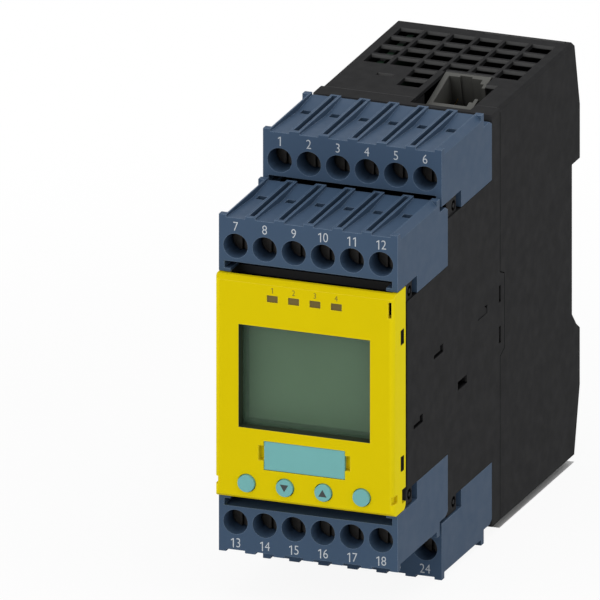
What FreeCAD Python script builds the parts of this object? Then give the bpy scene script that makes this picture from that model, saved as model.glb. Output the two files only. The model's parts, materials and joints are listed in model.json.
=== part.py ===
import FreeCAD, Part
import os
import re
import Sketcher

# Safety relay for a 35 mm rail: a stepped moulded case with four plug-in terminal blocks,
# a yellow display cover with four keys, a service socket on top and a sprung rail latch.
# Lengths are millimetres. The sheet holds places with x across the width, y from the cover's
# front face towards the rail and z from the middle of the height upwards.

SIZES = [
    ("case_width", 45.0, "width of the case, one 45 mm module"),
    ("case_height", 102.8, "height of the case without its terminal blocks"),
    ("case_depth", 124.0, "from the cover's front face to the back"),
    ("side_wall", 1.6, "wall of the two housings"),
    ("vent_wall", 1.0, "thin top and bottom plates that carry the vents"),
    ("fit_gap", 0.1, "gap between pieces that seat on each other"),
    ("slide_gap", 0.2, "gap round pieces that slide"),
    ("edge_chamfer", 0.8, "chamfer on the rear housing's long upper edges"),
    ("neck_height", 47.0, "height of the neck between the front blocks"),
    ("neck_start", 9.1, "front of the neck behind the cover's face"),
    ("tier_rise", 11.65, "step up from the front tier to the rear tier"),
    ("tier_pitch", 29.35, "setback of the rear tier from the front tier"),
    ("seam_depth", 70.8, "where the front housing meets the rear housing"),
    ("seam_gap", 0.15, "open line along the seam"),
    ("seam_tab_reach", 2.85, "how far the side tab of the front housing laps the rear one"),
    ("seam_tab_height", 21.0, "height of the side tab"),
    ("seam_tab_slope", 1.2, "slope at each end of the side tab"),
    ("snap_slot_width", 1.3, "upright snap slots in the side tab"),
    ("snap_slot_height", 4.2, "height of a snap slot"),
    ("snap_slot_pitch", 10.2, "distance between the two snap slots"),
    ("side_slot_length", 6.2, "small slots in the side walls"),
    ("side_slot_height", 2.1, "height of a small side slot"),
    ("upper_slot_start", 26.9, "front end of the upper small slot"),
    ("upper_slot_level", 4.2, "height of the upper small slot above the middle"),
    ("lower_slot_start", 13.4, "front end of the lower small slot"),
    ("lower_slot_level", 8.8, "depth of the lower small slot below the middle"),
    ("rail_depth", 5.2, "depth of the rail recess"),
    ("rail_top", 21.4, "upper end of the rail recess above the middle"),
    ("rail_bottom", 15.9, "lower end of the rail recess below the middle"),
    ("rail_lead", 4.9, "sloped lead-in below the rail recess"),
    ("steep_lead", 3.3, "height of the steep first part of the lead-in"),
    ("steep_lead_depth", 2.9, "how far that part reaches back"),
    ("rail_thickness", 1.0, "edge of a 35 mm rail"),
    ("back_flat", 70.0, "height of the flat part of the back"),
    ("back_taper", 3.7, "how far the back slopes away at top and bottom"),
    ("hook_play", 0.5, "play of the rail's edge behind the fixed hooks"),
    ("hook_reach", 2.5, "how far a fixed hook reaches down over the rail's edge"),
    ("hook_height", 2.6, "how far a fixed hook stands out at its root"),
    ("hook_tip", 0.9, "thickness of a fixed hook at its tip"),
    ("hook_width", 9.0, "width of one fixed hook"),
    ("hook_spacing", 19.0, "distance between the middles of the two hooks"),
    ("hook_window", 0.3, "how far the mould's window in the floor is wider than its hook"),
    ("latch_bed", 0.3, "how far the latch's bed lies below the floor of the rail recess"),
    ("latch_width", 10.0, "width of the rail latch"),
    ("latch_flange", 2.4, "how far each guide flange stands out at the latch's side"),
    ("latch_flange_thickness", 1.7, "thickness of a guide flange"),
    ("latch_thickness", 3.5, "thickness of the latch"),
    ("latch_length", 36.0, "length of the latch from nose to foot"),
    ("latch_overlap", 1.6, "how far the nose covers the rail's lower edge"),
    ("latch_play", 1.3, "play of the rail in the recess"),
    ("latch_nose_slope", 2.3, "slope on the latch's nose"),
    ("latch_neck", 4.6, "length of the nose above the guide flanges"),
    ("latch_eye_width", 4.0, "screwdriver eye in the latch"),
    ("latch_eye_height", 3.4, "height of the screwdriver eye"),
    ("latch_eye_margin", 2.2, "bar left below the screwdriver eye"),
    ("vent_columns", 6, "vent openings across the top"),
    ("vent_rows", 4, "rows of vents"),
    ("vent_width", 5.7, "width of a vent opening"),
    ("vent_length", 5.5, "length of a vent opening"),
    ("vent_column_pitch", 6.62, "pitch of the vent columns"),
    ("vent_row_pitch", 6.53, "pitch of the vent rows"),
    ("vent_back", 115.8, "rear edge of the last vent row"),
    ("extra_vents", 2, "further vents in front of the third column"),
    ("slit_width", 4.0, "short slit in the top plate"),
    ("slit_length", 1.6, "length of the slit along the depth"),
    ("slit_place", 11.2, "middle of the slit left of the centre"),
    ("slit_back", 84.3, "rear edge of the slit"),
    ("back_groove_width", 20.2, "thin groove near the top's rear edge"),
    ("back_groove_depth", 0.6, "depth and length of that groove"),
    ("back_groove_place", 119.0, "where that groove lies along the depth"),
    ("socket_left", 1.3, "left side of the service socket from the middle"),
    ("socket_width", 11.6, "width of the service socket"),
    ("finger_opening", 15.0, "width of the top opening where the plug's lever moves"),
    ("finger_opening_back", 5.9, "rear end of that wide part, in front of the opening's rear edge"),
    ("frame_opening", 12.2, "width of the top opening behind it"),
    ("socket_face", 13.9, "length of the socket's sloped face"),
    ("socket_body", 12.0, "depth of the socket's body"),
    ("socket_tilt", 16.0, "slope of the socket's face in degrees"),
    ("socket_back", 90.7, "rear edge of the socket's face"),
    ("socket_lean", 0.4, "room for the socket's leaning rear face in the top opening"),
    ("socket_rim", 1.4, "rim round the socket's mouth"),
    ("socket_mouth", 8.4, "width of the mouth across the case"),
    ("socket_step_width", 0.9, "step beside the socket's latch notch"),
    ("socket_step_length", 7.6, "length of that step"),
    ("socket_notch_length", 4.5, "length of the latch notch through the socket's right wall"),
    ("socket_key_width", 3.0, "guide groove in the mouth's rear wall"),
    ("socket_key_depth", 0.6, "depth of the guide groove"),
    ("socket_key_place", 4.1, "left side of the guide groove from the socket's left side"),
    ("socket_hole_depth", 10.6, "depth of the socket's mouth"),
    ("socket_front", 67.3, "front end of the opening in front of the socket"),
    ("tray_wall", 1.2, "wall of the tray in front of the socket"),
    ("tray_level", 46.6, "height of the tray's floor above the middle"),
    ("contact_count", 8, "spring contacts in the socket"),
    ("contact_pitch", 1.02, "pitch of the spring contacts"),
    ("contact_width", 0.5, "width of a spring contact"),
    ("contact_rise", 2.4, "how far a spring contact leans into the mouth"),
    ("cover_height", 55.4, "height of the yellow cover"),
    ("cover_bevel_height", 1.0, "bevel along the cover's top and bottom, upright part"),
    ("cover_bevel_depth", 1.6, "the same bevel, along the depth"),
    ("cover_plate", 2.6, "thickness of the cover's front"),
    ("cover_corner", 1.2, "rounding of the cover's upright front edges"),
    ("flange_depth", 8.0, "how far the cover's side flanges reach back"),
    ("flange_wall", 1.3, "thickness of the side flanges"),
    ("flange_corner", 1.5, "rounding of the flanges' lower rear corner"),
    ("flange_notch_height", 3.5, "notch in the rear edge of the flanges"),
    ("flange_notch_depth", 2.4, "depth of that notch"),
    ("flange_notch_level", 24.05, "middle of that notch below the middle"),
    ("flange_slot_height", 3.75, "snap slots in the flanges"),
    ("flange_slot_width", 1.2, "width of a flange slot"),
    ("flange_slot_place", 5.3, "middle of the flange slots behind the front face"),
    ("flange_slot_level", 15.75, "height of the flange slots above and below the middle"),
    ("edge_notch_width", 0.8, "notch in the cover's upright front edges"),
    ("edge_notch_height", 2.0, "height of that notch"),
    ("edge_notch_level", 23.5, "middle of that notch below the middle"),
    ("lift_slot_width", 0.8, "upright slot at the cover's upper right corner"),
    ("lift_slot_height", 4.0, "height of that slot"),
    ("lift_slot_place", 21.5, "place of that slot right of the middle"),
    ("lift_slot_level", 24.1, "height of that slot above the middle"),
    ("lift_skin", 0.7, "thickness of the cover's front round that slot"),
    ("lift_pocket_reach", 2.9, "how far the pocket behind the slot reaches inwards"),
    ("window_width", 33.1, "width of the display opening"),
    ("window_height", 25.7, "height of the display opening"),
    ("window_level", 3.25, "middle of the display above the middle of the case"),
    ("window_border", 1.5, "border of the window behind the cover"),
    ("window_thickness", 1.2, "thickness of the clear window"),
    ("display_depth", 7.3, "face of the display behind the cover's front face"),
    ("display_thickness", 2.8, "thickness of the display"),
    ("display_margin", 1.0, "edge of the display behind its frame"),
    ("label_width", 20.3, "width of the label plate"),
    ("label_height", 7.1, "height of the label plate"),
    ("label_level", 15.95, "middle of the label plate below the middle"),
    ("label_thickness", 1.0, "thickness of the label plate"),
    ("label_sink", 0.15, "how far the label plate lies below the cover's face"),
    ("pry_width", 1.4, "finger notches at the label plate's ends"),
    ("pry_height", 3.8, "height of a finger notch"),
    ("pry_level", 15.4, "middle of the finger notches below the middle"),
    ("pry_depth", 1.5, "depth of a finger notch"),
    ("light_count", 4, "status lights"),
    ("light_width", 2.77, "width of a status light"),
    ("light_height", 1.75, "height of a status light"),
    ("light_pitch", 5.37, "pitch of the status lights"),
    ("light_level", 23.3, "height of the status lights above the middle"),
    ("light_sink", 0.15, "how far a light pipe ends below the cover's face"),
    ("light_strip_height", 3.0, "strip that carries the light pipes"),
    ("light_strip_thickness", 1.2, "thickness of that strip"),
    ("chip_height", 0.8, "how far a light-emitting chip stands out of its board"),
    ("chip_width", 1.8, "width of a chip"),
    ("chip_length", 1.2, "upright length of a chip"),
    ("key_radius", 2.1, "radius of a key"),
    ("key_pitch", 9.65, "pitch of the keys"),
    ("key_level", 23.35, "middle of the keys below the middle"),
    ("key_proud", 0.65, "how far a key stands out of the cover"),
    ("key_travel", 0.5, "travel of a key"),
    ("key_collar_width", 5.8, "collar that holds a key behind the cover and keeps it upright"),
    ("key_collar_height", 5.2, "height of the collar"),
    ("key_collar_thickness", 0.8, "thickness of the collar"),
    ("key_stem_width", 2.4, "square stem that presses the switch"),
    ("key_stem_length", 0.5, "length of the stem"),
    ("switch_width", 5.0, "width of a push switch"),
    ("switch_height", 4.4, "height of a push switch"),
    ("switch_body", 2.0, "thickness of a push switch"),
    ("switch_plunger_width", 2.4, "plunger of a push switch"),
    ("board_thickness", 1.6, "thickness of every circuit board"),
    ("display_board_width", 39.0, "width of the display board"),
    ("display_board_height", 51.4, "height of the display board"),
    ("ear_wall", 1.5, "thickness of the neck's front ears"),
    ("ear_start", 4.4, "front end of the neck's front ears"),
    ("block_front", 2.7, "front of the front blocks behind the cover's face"),
    ("block_depth", 33.35, "depth of a terminal block"),
    ("block_height", 18.4, "height of a terminal block on its terrace"),
    ("block_side_wall", 1.4, "side walls in front of a block's core"),
    ("skirt_level", 4.3, "lower edge of a block's front skirt above its terrace"),
    ("skirt_depth", 13.0, "depth of the front skirt"),
    ("face_level", 6.9, "lower edge of a block's front face above its terrace"),
    ("recess_depth", 6.5, "recess behind the open lower part of a block's front"),
    ("foot_reach", 1.5, "foot that turns inwards at the lower edge of a side wall"),
    ("foot_height", 0.8, "height of that foot"),
    ("core_start", 10.65, "front of a block's core behind its front face"),
    ("core_inset", 1.6, "how far the core lies inside the block's sides"),
    ("coding_bar_end", 10.45, "rear end of a terrace's coding bar behind its block's front face"),
    ("coding_bar_height", 4.2, "height of a coding bar"),
    ("coding_bar_inset", 0.4, "how far a coding bar lies inside the sides of the case"),
    ("coding_ring_radius", 1.4, "ring hole in each end of a coding bar"),
    ("coding_pin_radius", 0.6, "pin left in the middle of a ring hole"),
    ("ring_corners", 12, "corners of a ring's outlines"),
    ("coding_ring_depth", 1.2, "depth of a ring hole"),
    ("coding_ring_place", 8.85, "ring hole behind the block's front face"),
    ("coding_ring_level", 1.85, "ring hole above the terrace"),
    ("ridge_depth", 28.0, "length of the ribbed top"),
    ("shelf_level", 15.0, "shelf behind the ribbed top"),
    ("shelf_depth", 31.8, "rear end of that shelf"),
    ("back_level", 14.1, "top of a block's rear face"),
    ("corner_post", 1.8, "square posts at the ends of the ribbed top"),
    ("top_chamfer", 1.55, "chamfer between the posts"),
    ("pole_count", 6, "terminals of one block"),
    ("pole_pitch", 7.315, "pitch of the terminals"),
    ("funnel_width", 4.7, "width of a wire funnel"),
    ("funnel_lip", 0.6, "depth of a funnel at its ends"),
    ("funnel_drop", 1.6, "depth of a funnel at the wire hole"),
    ("funnel_middle", 18.0, "wire hole behind the block's front face"),
    ("wire_hole_width", 2.8, "width of a wire hole"),
    ("wire_hole_length", 2.2, "length of a wire hole along the depth"),
    ("groove_width", 1.3, "groove in each rib"),
    ("groove_start", 1.2, "front end of a groove"),
    ("groove_end", 27.4, "rear end of a groove"),
    ("groove_depth", 2.2, "depth of a groove"),
    ("screw_hole_radius", 3.05, "well over a terminal screw"),
    ("screw_level", 10.85, "middle of the screws above the terrace"),
    ("screw_sink", 5.6, "depth of a screw's head in its well"),
    ("screw_head_radius", 2.7, "head of a terminal screw, to its corners"),
    ("screw_corners", 16, "corners of the head's outline"),
    ("screw_head_length", 2.2, "length of the head"),
    ("screw_shank_width", 3.0, "square that stands for a screw's thread"),
    ("thread_hole_width", 3.2, "square hole in a clamp cage for it"),
    ("screw_length", 11.0, "whole length of a terminal screw"),
    ("screw_slot_width", 0.8, "driver slots in the head"),
    ("screw_slot_depth", 1.0, "depth of the driver slots"),
    ("cell_width", 6.2, "cell that holds a clamp cage"),
    ("cell_start", 8.6, "front end of a cell behind the front face"),
    ("cell_floor", 5.6, "floor of a cell above the terrace"),
    ("cell_roof", 13.1, "roof of a cell above the terrace"),
    ("cage_width", 5.6, "width of a clamp cage"),
    ("cage_start", 11.6, "front of a clamp cage behind the front face"),
    ("cage_length", 10.4, "length of a clamp cage"),
    ("cage_wall", 0.9, "side walls of a clamp cage"),
    ("cage_front_wall", 2.4, "threaded front wall of a clamp cage"),
    ("cage_back_wall", 1.6, "rear wall of a clamp cage"),
    ("sleeve_width", 3.2, "contact sleeve behind a clamp cage"),
    ("sleeve_bore", 1.6, "square bore of a contact sleeve"),
    ("sleeve_length", 7.6, "length of a contact sleeve"),
    ("pin_width", 1.2, "square contact pin"),
    ("pin_reach", 8.0, "how far a pin reaches into its block"),
    ("pin_tail", 3.4, "how far a pin passes the header"),
    ("pin_level", 7.4, "height of the pins above the terrace"),
    ("header_height", 4.4, "height of a pin header"),
    ("header_margin", 2.2, "header beyond its outer pins"),
    ("header_lip", 1.2, "how far a header stands out behind the step wall"),
    ("terminal_board_rise", 2.4, "how far a terminal board reaches above its pins"),
    ("terminal_board_drop", 5.6, "how far it reaches towards the middle of the case"),
    ("control_board_place", 17.5, "control board left of the middle"),
    ("logic_board_place", 18.3, "logic board right of the middle"),
    ("board_edge_gap", 0.4, "gap round the two long boards"),
    ("board_front", 12.0, "front end of the two long boards"),
    ("relay_length", 29.0, "length of a relay"),
    ("relay_height", 12.8, "height of a relay"),
    ("relay_width", 26.0, "reach of a relay from the control board"),
    ("relay_start", 80.0, "front end of the relays"),
    ("relay_level", 8.0, "middle of the relays above and below the middle"),
    ("transformer_size", 24.0, "side of the transformer"),
    ("transformer_width", 24.0, "reach of the transformer from the control board"),
    ("transformer_start", 84.0, "front end of the transformer"),
    ("transformer_level", 32.0, "middle of the transformer below the middle"),
    ("capacitor_side", 11.0, "thickness and height of a capacitor"),
    ("capacitor_length", 24.0, "length of a capacitor"),
    ("capacitor_count", 2, "capacitors in the neck"),
    ("capacitor_start", 24.0, "first capacitor behind the cover's face"),
    ("capacitor_pitch", 20.0, "pitch of the capacitors"),
]

# Places that several pieces share, worked out from the sizes above.
PLACES = {
    "half_width": "case_width / 2",
    "half_height": "case_height / 2",
    "neck_half": "neck_height / 2",
    "front_step": "block_front + block_depth + fit_gap",
    "rear_step": "front_step + tier_pitch",
    "rear_floor": "neck_half + tier_rise",
    "rail_face": "case_depth - rail_depth",
    "back_inside": "rail_face - side_wall",
    "bed_face": "rail_face - latch_bed",
    "mid_depth": "(case_depth - key_proud) / 2",
    "base_level": "neck_half + fit_gap + tier_rise + block_height",
    "cover_half": "cover_height / 2",
    "window_back": "cover_plate + fit_gap + window_thickness",
    "board_back": "neck_start - fit_gap",
    "board_face": "board_back - board_thickness",
    "switch_face": "board_face - switch_body",
    "key_back": "cover_plate + fit_gap + key_collar_thickness",
    "plunger_face": "key_back + key_stem_length + key_travel + fit_gap",
    "latch_top": "latch_overlap + latch_play - rail_bottom",
    "latch_foot": "latch_top - latch_length",
    "opening_back": "socket_back + socket_lean",
    "roof_under": "half_height - vent_wall",
}

SMALLEST = 1e-6
HALF_TURN = 180
SAME_PLACE = 0.01
KEY_NAMES = ("key_left_end", "key_down", "key_up", "key_right_end")

doc = FreeCAD.newDocument("safety_relay")
sheet = doc.addObject("Spreadsheet::Sheet", "sizes")


def fill_sheet():
    """Each driving size is one plain number with a name."""
    for row, (name, value, meaning) in enumerate(SIZES, start=1):
        sheet.set("A%d" % row, meaning)
        sheet.set("B%d" % row, str(value))
        sheet.setAlias("B%d" % row, name)
    doc.recompute()


SIZE_NAMES = {name for name, value, meaning in SIZES}


def sized(text):
    """The text with its names turned into cells of the sheet."""
    def swap(match):
        word = match.group()
        if word in PLACES:
            return "(" + sized(PLACES[word]) + ")"
        if word in SIZE_NAMES:
            return "sizes." + word
        return word
    return re.sub(r"[a-z][a-z_]+", swap, text)


def measure(text):
    """The number that a text gives now."""
    return float(sheet.evalExpression(sized(text)))


def count(name):
    return int(round(measure(name)))


def bind(target, **texts):
    """Ties properties to the sheet; two underscores stand for a dot."""
    for name, text in texts.items():
        target.setExpression(name.replace("__", "."), sized(text))


def new_body(label):
    body = doc.addObject("PartDesign::Body", label)
    body.Label = label
    body.AllowCompound = True
    return body


def rect(left, right, low, high):
    return [(left, low), (right, low), (right, high), (left, high)]


def box_round(u, v, width, height):
    """A rectangle round its middle."""
    return rect("%s - %s / 2" % (u, width), "%s + %s / 2" % (u, width),
                "%s - %s / 2" % (v, height), "%s + %s / 2" % (v, height))


def square(u, v, side):
    return box_round(u, v, side, side)


def many_sided(u, v, radius, corners):
    """An outline with equal sides round its middle."""
    outline = []
    for corner in range(count(corners)):
        angle = "(360 / %s * %d)" % (corners, corner)
        outline.append(("%s + %s * cos%s" % (u, radius, angle), "%s + %s * sin%s" % (v, radius, angle)))
    return outline


def draw_outline(sketch, points):
    """Closed outline with every corner tied to the sheet."""
    first = sketch.GeometryCount
    corners = [FreeCAD.Vector(measure(u), measure(v), 0) for u, v in points]
    total = len(corners)
    following = [(index + 1) % total for index in range(total)]
    sketch.addGeometry([Part.LineSegment(corners[index], corners[following[index]])
                        for index in range(total)])
    sketch.addConstraint([
        Sketcher.Constraint("Coincident", first + index, 2, first + following[index], 1)
        for index in range(total)])
    ties = []
    for index, (u, v) in enumerate(points):
        ties.append((Sketcher.Constraint("DistanceX", -1, 1, first + index, 1, corners[index].x), u))
        ties.append((Sketcher.Constraint("DistanceY", -1, 1, first + index, 1, corners[index].y), v))
    tie(sketch, ties)


def tie(sketch, ties):
    """Adds constraints and ties each one to its text."""
    first = sketch.ConstraintCount
    sketch.addConstraint([constraint for constraint, text in ties])
    for place, (constraint, text) in enumerate(ties, start=first):
        sketch.setExpression("Constraints[%d]" % place, sized(text))


def draw_circle(sketch, u, v, radius):
    middle = FreeCAD.Vector(measure(u), measure(v), 0)
    index = sketch.addGeometry(Part.Circle(middle, FreeCAD.Vector(0, 0, 1), measure(radius)))
    tie(sketch, [
        (Sketcher.Constraint("Radius", index, measure(radius)), radius),
        (Sketcher.Constraint("DistanceX", -1, 1, index, 3, middle.x), u),
        (Sketcher.Constraint("DistanceY", -1, 1, index, 3, middle.y), v),
    ])


def new_sketch(body, plane, low, high):
    """Sketch at one end of a span; it grows along the plane's normal."""
    sketch = body.newObject("Sketcher::SketchObject", body.Name + "_sketch")
    origin_plane = next(f for f in body.Origin.OriginFeatures if f.Role == plane + "_Plane")
    sketch.AttachmentSupport = (origin_plane, [""])
    sketch.MapMode = "FlatFace"
    start = "-(%s)" % high if plane == "XZ" else low
    bind(sketch, AttachmentOffset__Base__z=start)
    return sketch


def slab(body, kind, plane, low, high, outlines=(), circles=()):
    """Adds or cuts outlines and circles between two places along the plane's normal."""
    sketch = new_sketch(body, plane, low, high)
    for points in outlines:
        draw_outline(sketch, points)
    for u, v, radius in circles:
        draw_circle(sketch, u, v, radius)
    feature = body.newObject("PartDesign::" + kind, body.Name + "_" + kind.lower())
    feature.Profile = sketch
    feature.Reversed = kind == "Pocket"
    feature.Refine = kind == "Pad"
    bind(feature, Length="(%s) - (%s)" % (high, low))
    sketch.Visibility = False
    doc.recompute([sketch, feature])
    check_feature(body, feature)
    return feature


def add(body, plane, low, high, outlines=(), circles=()):
    return slab(body, "Pad", plane, low, high, outlines, circles)


def cut(body, plane, low, high, outlines=(), circles=()):
    return slab(body, "Pocket", plane, low, high, outlines, circles)


def check_feature(body, feature):
    """A feature that changes nothing is a mistake in its place or direction."""
    before = feature.BaseFeature.Shape.Volume if feature.BaseFeature else 0.0
    after = feature.Shape.Volume
    if abs(after - before) < SMALLEST:
        raise ValueError("%s changes nothing in %s" % (feature.Name, body.Label))


def repeat(body, feature, spacing, copies, axis="N_Axis"):
    """Copies a feature along an axis of its sketch, by default along the normal."""
    pattern = body.newObject("PartDesign::LinearPattern", body.Name + "_pattern")
    pattern.Originals = [feature]
    pattern.Direction = (feature.Profile[0], [axis])
    pattern.Mode = "Spacing"
    bind(pattern, Offset=spacing, Occurrences=copies)
    body.Tip = pattern
    doc.recompute([pattern])
    check_feature(body, pattern)
    return pattern


def soften(body, kind, size, wanted):
    """Fillet or chamfer on the edges of the tip that pass the test."""
    base = body.Tip
    names = ["Edge%d" % (i + 1) for i, edge in enumerate(base.Shape.Edges) if wanted(edge)]
    feature = body.newObject("PartDesign::" + kind, body.Name + "_" + kind.lower())
    feature.Base = (base, names)
    bind(feature, **{"Radius" if kind == "Fillet" else "Size": size})
    doc.recompute([feature])
    check_feature(body, feature)
    return feature


def straight(edge, direction):
    """True for a straight edge along one of the axes."""
    if not isinstance(edge.Curve, Part.Line):
        return False
    return abs(abs(edge.Curve.Direction.dot(FreeCAD.Vector(direction))) - 1) < SMALLEST


def near(value, text):
    """True where a measured place is the one that the text gives."""
    return abs(value - measure(text)) < SAME_PLACE


def seat(piece, lower=False):
    """Puts a piece into the part's frame; a lower one is turned half round the depth axis."""
    if lower:
        piece.Placement = FreeCAD.Placement(
            FreeCAD.Vector(), FreeCAD.Rotation(FreeCAD.Vector(0, 1, 0), HALF_TURN))
    bind(piece, Placement__Base__y="-(mid_depth)", Placement__Base__z="base_level")
    return piece


def both_sides(points):
    """An outline and its mirror image across the width."""
    return [points, [("-(%s)" % u, v) for u, v in reversed(points)]]


def above_and_below(points):
    """An outline whose second place is upright, and its mirror image below the middle."""
    return [points, [(u, "-(%s)" % v) for u, v in reversed(points)]]


def spread(total, pitch, index):
    """Place of one item in a centred row."""
    return "%s * (%d - (%s - 1) / 2)" % (pitch, index, total)


def build_front_housing():
    body = new_body("front_housing")
    upper = [
        ("neck_start", "neck_half"),
        ("front_step", "neck_half"),
        ("front_step", "rear_floor"),
        ("rear_step", "rear_floor"),
        ("rear_step", "half_height"),
        ("seam_depth", "half_height"),
    ]
    mirrored = [(u, "-(%s)" % v) for u, v in reversed(upper)]
    add(body, "YZ", "-half_width", "half_width", [upper + mirrored])
    tab = "seam_tab_height / 2"
    add(body, "YZ", "-half_width", "half_width", [[
        ("seam_depth - side_wall", "-(%s)" % tab),
        ("seam_depth", "-(%s)" % tab),
        ("seam_depth + seam_tab_reach", "seam_tab_slope - %s" % tab),
        ("seam_depth + seam_tab_reach", "%s - seam_tab_slope" % tab),
        ("seam_depth", tab),
        ("seam_depth - side_wall", tab),
    ]])
    beyond = "seam_depth + seam_tab_reach * 2"
    inside = [
        ("neck_start - side_wall", "neck_half - side_wall"),
        ("front_step + side_wall", "neck_half - side_wall"),
        ("front_step + side_wall", "rear_floor - side_wall"),
        ("rear_step + side_wall", "rear_floor - side_wall"),
        ("rear_step + side_wall", "roof_under"),
        (beyond, "roof_under"),
    ]
    mirrored = [(u, "-(%s)" % v) for u, v in reversed(inside)]
    cut(body, "YZ", "side_wall - half_width", "half_width - side_wall", [inside + mirrored])
    add_neck_ears(body)
    add_coding_bars(body)
    cut_header_slots(body)
    cut_side_slots(body)
    add_socket_tray(body)
    return seat(body)


def add_neck_ears(body):
    """Two ears in front of the neck, with lugs that snap into the slots of the cover's flanges."""
    outer = "half_width - flange_wall - fit_gap"
    inner = "%s - ear_wall" % outer
    add(body, "XZ", "ear_start", "neck_start + side_wall",
        both_sides(rect(inner, outer, "-neck_half", "neck_half")))
    lugs = above_and_below(
        box_round("flange_slot_place", "flange_slot_level",
                  "(flange_slot_width - fit_gap * 2)", "(flange_slot_height - fit_gap * 2)"))
    add(body, "YZ", "%s - fit_gap" % outer, "half_width - slide_gap", lugs)
    add(body, "YZ", "slide_gap - half_width", "fit_gap - (%s)" % outer, lugs)


def add_coding_bars(body):
    """A bar across each terrace below its block's front, with a ring hole in each end."""
    end = "half_width - coding_bar_inset"
    rings = []
    for floor, start, front in (
            ("neck_half", "neck_start", "block_front"),
            ("rear_floor", "front_step", "block_front + tier_pitch")):
        bar = rect("-(%s)" % end, end, floor, "%s + coding_bar_height" % floor)
        add(body, "XZ", start, "%s + coding_bar_end" % front, above_and_below(bar))
        place = "%s + coding_ring_place" % front
        level = "%s + coding_ring_level" % floor
        for radius in ("coding_ring_radius", "coding_pin_radius"):
            rings += above_and_below(many_sided(place, level, radius, "ring_corners"))
    cut(body, "YZ", "%s - coding_ring_depth" % end, "%s + fit_gap" % end, rings)
    cut(body, "YZ", "-(%s) - fit_gap" % end, "coding_ring_depth - (%s)" % end, rings)


def header_half_width():
    return "pole_pitch * (pole_count - 1) / 2 + header_margin"


def cut_header_slots(body):
    """A slot in each step wall takes the pin header of its block."""
    reach = header_half_width() + " + fit_gap"
    for floor, step in (("neck_half", "front_step"), ("rear_floor", "rear_step")):
        middle = "%s + fit_gap + pin_level" % floor
        slot = rect("-(%s)" % reach, reach, "%s - header_height / 2 - fit_gap" % middle,
                    "%s + header_height / 2 + fit_gap" % middle)
        cut(body, "XZ", "%s - side_wall" % step, "%s + side_wall + fit_gap" % step, above_and_below(slot))


def cut_side_slots(body):
    """Small slots through both side walls, and the snap slots in the tab."""
    outlines = []
    for shift in ("", " + tier_pitch"):
        for start, level in (
                ("upper_slot_start", "upper_slot_level"),
                ("lower_slot_start", "-lower_slot_level")):
            middle = start + shift + " + side_slot_length / 2"
            outlines.append(box_round(middle, level, "side_slot_length", "side_slot_height"))
    outlines += above_and_below(
        box_round("seam_depth", "snap_slot_pitch / 2", "snap_slot_width", "snap_slot_height"))
    cut(body, "YZ", "-half_width - side_wall", "half_width + side_wall", outlines)


def add_socket_tray(body):
    """Opening in the top and the tray in front of the socket."""
    left = "socket_left - fit_gap"
    right = "socket_left + finger_opening + fit_gap"
    cut(body, "XY", "tray_level", "half_height + side_wall",
        [rect(left, right, "socket_front", "seam_depth + side_wall")])
    tray = [
        ("%s - tray_wall" % left, "tray_level - tray_wall"),
        ("%s + tray_wall" % right, "tray_level - tray_wall"),
        ("%s + tray_wall" % right, "roof_under - fit_gap"),
        (right, "roof_under - fit_gap"),
        (right, "tray_level"),
        (left, "tray_level"),
        (left, "roof_under - fit_gap"),
        ("%s - tray_wall" % left, "roof_under - fit_gap"),
    ]
    add(body, "XZ", "rear_step + side_wall / 2", "socket_back - socket_face + fit_gap", [tray])


def build_rear_housing():
    body = new_body("rear_housing")
    start = "seam_depth + seam_gap"
    add(body, "YZ", "-half_width", "half_width", [[
        (start, "-half_height"),
        ("case_depth - back_taper", "-half_height"),
        ("case_depth", "-back_flat / 2"),
        ("case_depth", "-(rail_bottom + rail_lead)"),
        ("rail_face + steep_lead_depth", "-(rail_bottom + steep_lead)"),
        ("rail_face", "-rail_bottom"),
        ("rail_face", "rail_top"),
        ("case_depth", "rail_top"),
        ("case_depth", "back_flat / 2"),
        ("case_depth - back_taper", "half_height"),
        (start, "half_height"),
    ]])
    soften(body, "Chamfer", "edge_chamfer",
           lambda edge: straight(edge, (0, 1, 0)) and near(edge.CenterOfMass.z, "half_height"))
    cut(body, "YZ", "side_wall - half_width", "half_width - side_wall",
        [rect("seam_depth - side_wall", "back_inside", "-roof_under", "roof_under")])
    tab = "seam_tab_height / 2 + seam_gap"
    cut(body, "YZ", "-half_width - side_wall", "half_width + side_wall", [[
        ("seam_depth - side_wall", "-(%s)" % tab),
        ("%s" % start, "-(%s)" % tab),
        ("%s + seam_tab_reach" % start, "seam_tab_slope - (%s)" % tab),
        ("%s + seam_tab_reach" % start, "%s - seam_tab_slope" % tab),
        ("%s" % start, tab),
        ("seam_depth - side_wall", tab),
    ]])
    cut_vents(body)
    cut_socket_opening(body)
    cut_top_marks(body)
    add_rail_hooks(body)
    cut_latch_channel(body)
    return seat(body)


def vent_outline(column, row):
    """One vent opening; rows count from the back."""
    across = spread("vent_columns", "vent_column_pitch", column)
    middle = "vent_back - vent_length / 2 - vent_row_pitch * %d" % row
    return box_round(across, middle, "vent_width", "vent_length")


def cut_vents(body):
    """Vent grids in the top and the bottom, with a few more in front of the third column."""
    grid = [vent_outline(column, row)
            for column in range(count("vent_columns")) for row in range(count("vent_rows"))]
    third = (count("vent_columns") - 1) // 2
    extra = [vent_outline(third, count("vent_rows") + row) for row in range(count("extra_vents"))]
    cut(body, "XY", "roof_under - vent_wall", "half_height + vent_wall", grid + extra)
    cut(body, "XY", "-half_height - vent_wall", "vent_wall - roof_under", grid)


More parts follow.
